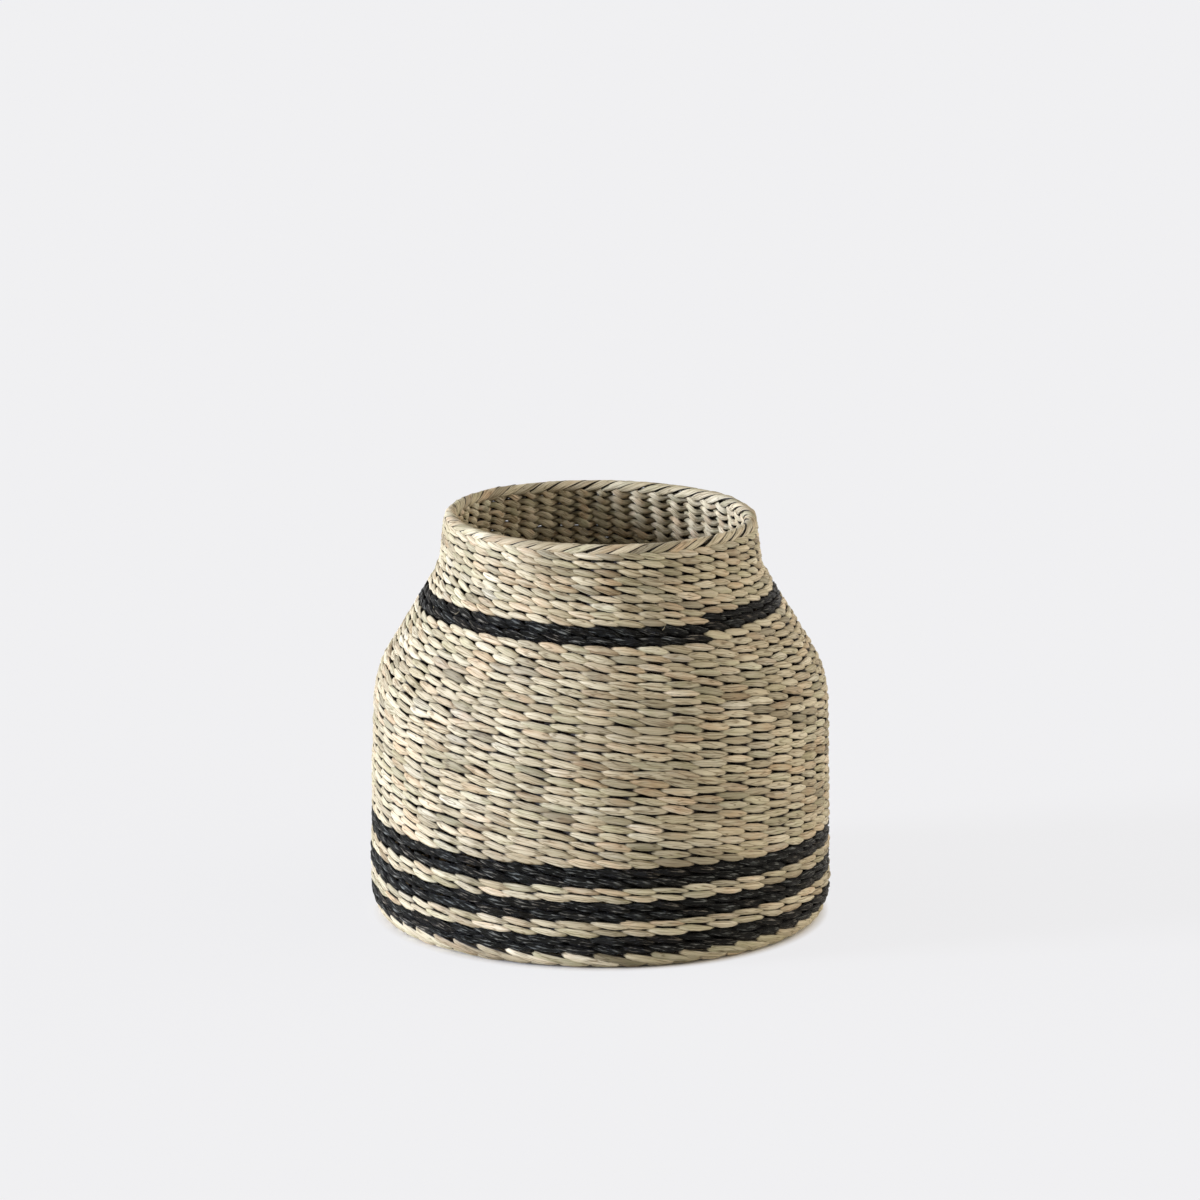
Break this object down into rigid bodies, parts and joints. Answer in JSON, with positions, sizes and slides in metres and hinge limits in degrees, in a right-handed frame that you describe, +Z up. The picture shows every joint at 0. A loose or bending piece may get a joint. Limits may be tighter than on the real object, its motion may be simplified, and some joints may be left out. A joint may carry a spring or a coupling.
{
  "type": "woven planter basket",
  "caption": "Round twined seagrass basket planter with a full belly, sloped shoulder, narrower open neck and black stripes.",
  "frame": {"origin": "centre of the foot, on the floor", "axes": "+Z up along the planter's round axis, -Y towards the side that the picture shows"},
  "size_m": [0.2834, 0.2834, 0.2509],
  "materials": {
    "natural_weft": "natural dried seagrass, low sheen, fibres along each strand",
    "black_weft": "dyed black seagrass, soft satin sheen",
    "stakes": "plain matt dried rod, mostly covered by the weft"
  },
  "bodies": {
    "root": {"foot_wale": "natural_weft", "natural_band_low": "natural_weft", "natural_band_mid": "natural_weft", "body_weft": "natural_weft", "neck_weft": "natural_weft", "rim_border": "natural_weft", "inner_weft": "natural_weft", "base_weft": "natural_weft", "black_band_low": "black_weft", "black_band_mid": "black_weft", "black_band_high": "black_weft", "black_band_neck": "black_weft", "stake_01": "stakes", "stake_02": "stakes", "stake_03": "stakes", "stake_04": "stakes", "stake_05": "stakes", "stake_06": "stakes", "stake_07": "stakes", "stake_08": "stakes", "stake_09": "stakes", "stake_10": "stakes", "stake_11": "stakes", "stake_12": "stakes", "stake_13": "stakes", "stake_14": "stakes", "stake_15": "stakes", "stake_16": "stakes", "stake_17": "stakes", "stake_18": "stakes", "stake_19": "stakes", "stake_20": "stakes", "stake_21": "stakes", "stake_22": "stakes", "stake_23": "stakes", "stake_24": "stakes", "stake_25": "stakes", "stake_26": "stakes", "stake_27": "stakes", "stake_28": "stakes", "stake_29": "stakes", "stake_30": "stakes", "stake_31": "stakes", "stake_32": "stakes", "stake_33": "stakes", "stake_34": "stakes", "stake_35": "stakes", "stake_36": "stakes", "stake_37": "stakes", "stake_38": "stakes", "stake_39": "stakes", "stake_40": "stakes", "stake_41": "stakes", "stake_42": "stakes", "stake_43": "stakes", "stake_44": "stakes", "stake_45": "stakes", "stake_46": "stakes", "stake_47": "stakes", "stake_48": "stakes"}
  },
  "joints": []
}
